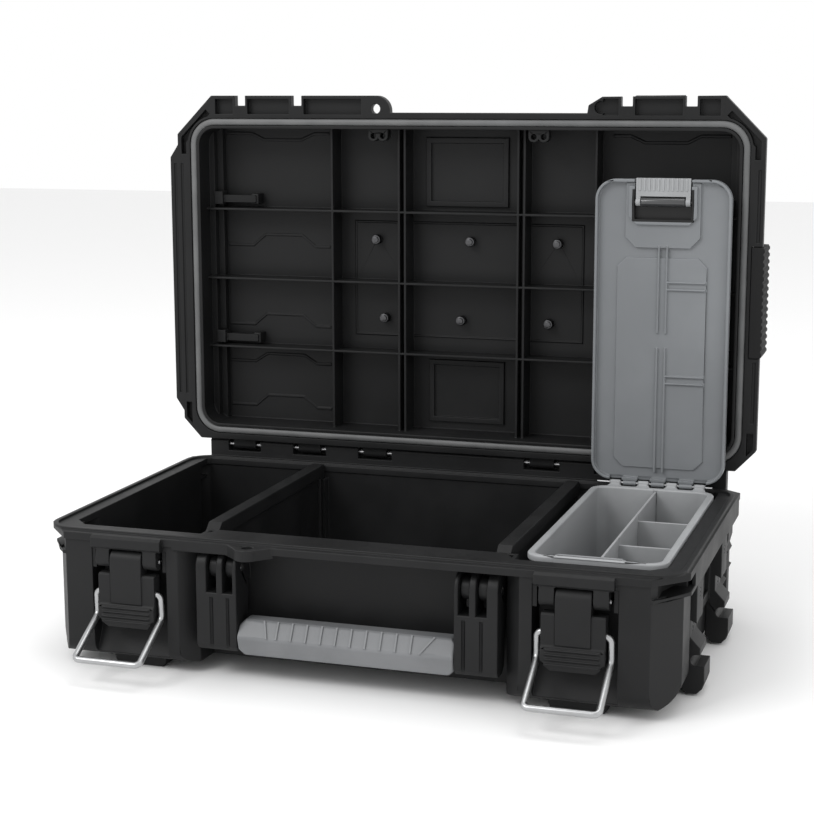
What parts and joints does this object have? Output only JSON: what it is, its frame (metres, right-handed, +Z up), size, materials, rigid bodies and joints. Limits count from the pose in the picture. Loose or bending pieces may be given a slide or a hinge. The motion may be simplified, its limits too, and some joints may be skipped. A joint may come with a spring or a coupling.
{
  "type": "hard tool case",
  "caption": "Moulded hard tool case, stored open, with hinged lid, draw latches with wire bails, folding carrying handle, lift-out dividers and an organiser bin with its own lid.",
  "frame": {"origin": "floor level under the middle of the base and its feet", "axes": "+X to the right seen from the front, +Y from the latches to the lid hinge, +Z up"},
  "size_m": [0.5682, 0.4057, 0.4635],
  "materials": {
    "case_plastic": "moulded, fine grain",
    "plate_plastic": "moulded, ribbed",
    "black_rubber": "serrated grip",
    "black_plastic": "smooth",
    "seal_rubber": "soft seal",
    "steel": "bright zinc",
    "grip_plastic": "grey moulded grip",
    "handle_plastic": "grey",
    "bin_plastic": "light grey, smooth",
    "organiser_lid_plastic": "grey, smooth"
  },
  "bodies": {
    "base": {"base_shell": "case_plastic", "side_rail_left": "case_plastic", "side_rail_right": "case_plastic", "side_rail_screws": "steel", "hinge_pins": "steel", "latch_pins": "steel", "handle_pins": "steel"},
    "lid": {"lid_shell": "case_plastic", "lid_seal": "seal_rubber", "lid_top_plate": "plate_plastic", "lid_plate_bolts": "black_plastic", "lid_tool_brackets": "plate_plastic", "side_handle": "handle_plastic", "side_handle_grip": "black_rubber", "side_handle_screws": "steel"},
    "latch_lever_left": {"latch_lever_left": "case_plastic"},
    "latch_lever_right": {"latch_lever_right": "case_plastic"},
    "latch_bail_left": {"latch_bail_left": "steel"},
    "latch_bail_right": {"latch_bail_right": "steel"},
    "carry_handle": {"handle_frame": "case_plastic", "handle_grip": "grip_plastic"},
    "divider_left": {"divider_left": "case_plastic"},
    "divider_right": {"divider_right": "case_plastic"},
    "organiser": {"organiser_bin": "bin_plastic", "organiser_long_divider": "bin_plastic", "organiser_cross_dividers": "bin_plastic", "organiser_hinge_pin": "steel"},
    "organiser_lid": {"organiser_lid": "organiser_lid_plastic", "organiser_latch_frame": "black_plastic", "organiser_latch_roller": "black_plastic"},
    "organiser_latch": {"organiser_latch_lever": "bin_plastic"}
  },
  "joints": [
    {"name": "lid_hinge", "type": "hinge", "parent": "base", "child": "lid", "pos_m": [0, 0.162, 0.1255], "axis": [-1, 0, 0], "range_deg": [-90, 0]},
    {"name": "latch_lever_left_hinge", "type": "hinge", "parent": "base", "child": "latch_lever_left", "pos_m": [-0.185, -0.157, 0.094], "axis": [-1, 0, 0], "range_deg": [0, 95]},
    {"name": "latch_bail_left_hinge", "type": "hinge", "parent": "latch_lever_left", "child": "latch_bail_left", "pos_m": [-0.185, -0.1595, 0.067], "axis": [1, 0, 0], "range_deg": [-127, 0]},
    {"name": "latch_lever_right_hinge", "type": "hinge", "parent": "base", "child": "latch_lever_right", "pos_m": [0.185, -0.157, 0.094], "axis": [-1, 0, 0], "range_deg": [0, 95]},
    {"name": "latch_bail_right_hinge", "type": "hinge", "parent": "latch_lever_right", "child": "latch_bail_right", "pos_m": [0.185, -0.1595, 0.067], "axis": [1, 0, 0], "range_deg": [-127, 0]},
    {"name": "carry_handle_hinge", "type": "hinge", "parent": "base", "child": "carry_handle", "pos_m": [0, -0.145, 0.092], "axis": [-1, 0, 0], "range_deg": [0, 80]},
    {"name": "divider_left_lift", "type": "slide", "parent": "base", "child": "divider_left", "axis": [0, 0, 1], "range_m": [0, 0.1]},
    {"name": "divider_right_lift", "type": "slide", "parent": "base", "child": "divider_right", "axis": [0, 0, 1], "range_m": [0, 0.1]},
    {"name": "organiser_lift", "type": "slide", "parent": "base", "child": "organiser", "axis": [0, 0, 1], "range_m": [0, 0.1]},
    {"name": "organiser_lid_hinge", "type": "hinge", "parent": "organiser", "child": "organiser_lid", "pos_m": [0.1925, 0.1355, 0.1185], "axis": [-1, 0, 0], "range_deg": [-90, 0]},
    {"name": "organiser_latch_hinge", "type": "hinge", "parent": "organiser_lid", "child": "organiser_latch", "pos_m": [0.1937, 0.136, 0.3715], "axis": [-1, 0, 0], "range_deg": [0, 30]}
  ],
  "couplings": [
    {"joint": "organiser_lid_hinge", "follows": "lid_hinge", "ratio": 1}
  ]
}
